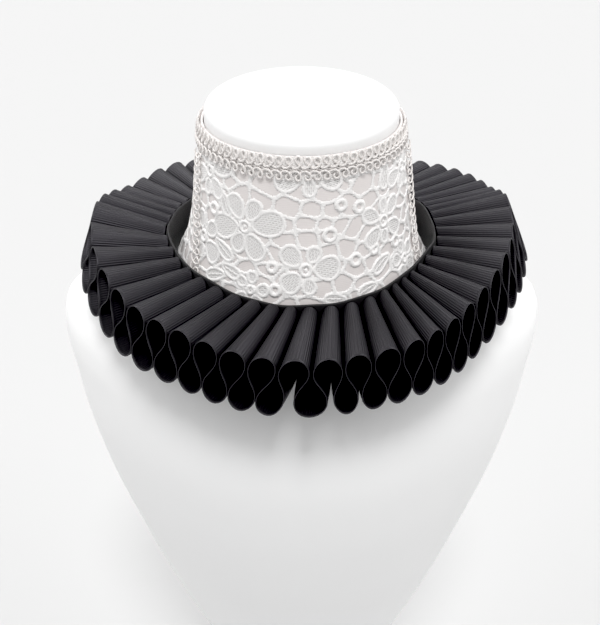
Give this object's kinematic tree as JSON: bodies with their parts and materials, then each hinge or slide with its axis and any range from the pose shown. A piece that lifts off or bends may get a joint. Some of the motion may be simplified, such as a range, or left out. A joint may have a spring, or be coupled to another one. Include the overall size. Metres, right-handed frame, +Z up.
{
  "type": "ruff collar on display bust",
  "caption": "Black pleated ruff on a neck band round a high white lace collar with looped braid trim, worn by a smooth limbless display bust.",
  "frame": {"origin": "on the neck's axis, in the flat underside of the bust's foot", "axes": "+Z up along the neck, -Y towards the wearer's front, +X towards the wearer's left"},
  "size_m": [0.2934, 0.253, 0.5158],
  "materials": {
    "grosgrain": "matt ribbed grosgrain",
    "band": "smooth dull satin ribbon",
    "lace": "corded flower lace over off-white satin",
    "gimp": "cream rayon cord",
    "stand": "smooth white satin"
  },
  "bodies": {
    "root": {"ruff_frill": "grosgrain", "ruff_band": "band", "collar_front": "lace", "collar_back_left": "lace", "collar_back_right": "lace", "top_braid": "gimp", "side_braid_left": "gimp", "side_braid_right": "gimp", "bust": "stand"}
  },
  "joints": []
}
